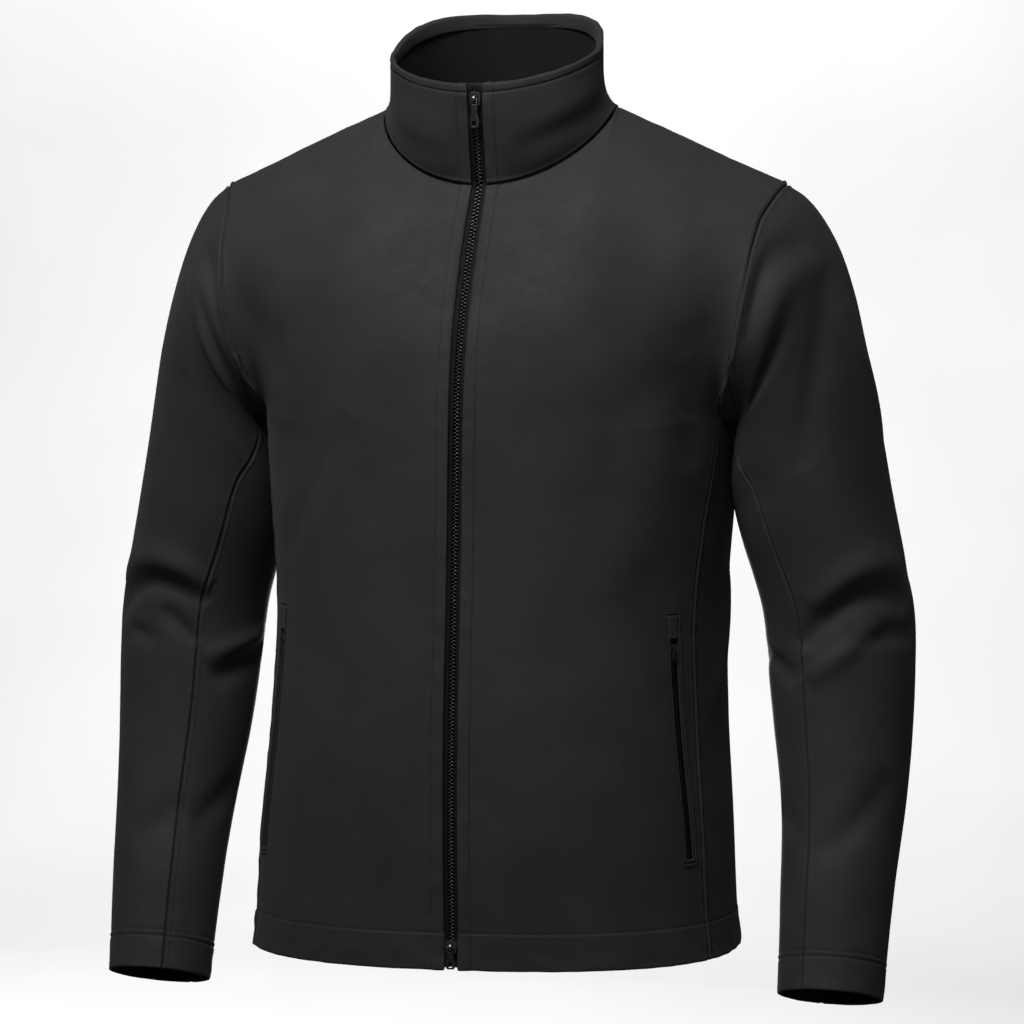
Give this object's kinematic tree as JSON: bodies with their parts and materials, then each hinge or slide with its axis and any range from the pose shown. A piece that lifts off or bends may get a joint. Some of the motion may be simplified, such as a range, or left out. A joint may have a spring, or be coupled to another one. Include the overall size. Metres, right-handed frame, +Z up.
{
  "type": "softshell jacket",
  "caption": "Softshell jacket with stand collar, full front zip, zipped hand pockets and set-in sleeves, filled out as worn and open at neck, hem and cuffs.",
  "frame": {"origin": "centre of the neck, level with the high points of the shoulders, where the wearer carries it", "axes": "+Z up, -Y out of the chest, +X towards the wearer's left arm"},
  "size_m": [0.659, 0.2919, 0.7932],
  "materials": {
    "cloth": "matt bonded softshell, near-black, with a faint sheen",
    "lining": "brushed knit backing, black",
    "zip_tape": "woven tape, black",
    "zip_chain": "moulded chain, black, slightly glossy",
    "zip_metal": "dark enamelled die-cast metal, bare on its edges"
  },
  "bodies": {
    "jacket": {"front_left": "cloth", "front_right": "cloth", "back": "cloth", "upper_sleeve_left": "cloth", "under_sleeve_left": "cloth", "upper_sleeve_right": "cloth", "under_sleeve_right": "cloth", "collar_outer": "cloth", "collar_inner": "lining", "chin_guard": "lining", "zip_tape_left": "zip_tape", "zip_tape_right": "zip_tape", "zip_chain": "zip_chain", "zip_top_slider": "zip_metal", "zip_bottom_slider": "zip_metal", "pocket_welt_left": "cloth", "pocket_tape_left": "zip_tape", "pocket_chain_left": "zip_chain", "pocket_left_slider": "zip_metal", "pocket_welt_right": "cloth", "pocket_tape_right": "zip_tape", "pocket_chain_right": "zip_chain", "pocket_right_slider": "zip_metal"},
    "zip_top_pull": {"zip_top_pull": "zip_metal"},
    "zip_bottom_pull": {"zip_bottom_pull": "zip_metal"},
    "pocket_left_pull": {"pocket_left_pull": "zip_metal"},
    "pocket_right_pull": {"pocket_right_pull": "zip_metal"}
  },
  "joints": [
    {"name": "zip_top_pull_hinge", "type": "hinge", "parent": "jacket", "child": "zip_top_pull", "pos_m": [0, -0.08117, 0.0039], "axis": [-1, 0, 0], "range_deg": [0, 160]},
    {"name": "zip_bottom_pull_hinge", "type": "hinge", "parent": "jacket", "child": "zip_bottom_pull", "pos_m": [0, -0.15569, -0.64497], "axis": [-1, 0, 0], "range_deg": [0, 160]},
    {"name": "pocket_left_pull_hinge", "type": "hinge", "parent": "jacket", "child": "pocket_left_pull", "pos_m": [0.15841, -0.0782, -0.41873], "axis": [-0.5202, -0.8541, 0], "range_deg": [0, 160]},
    {"name": "pocket_right_pull_hinge", "type": "hinge", "parent": "jacket", "child": "pocket_right_pull", "pos_m": [-0.15841, -0.0782, -0.41902], "axis": [-0.5202, 0.8541, 0], "range_deg": [0, 160]}
  ]
}
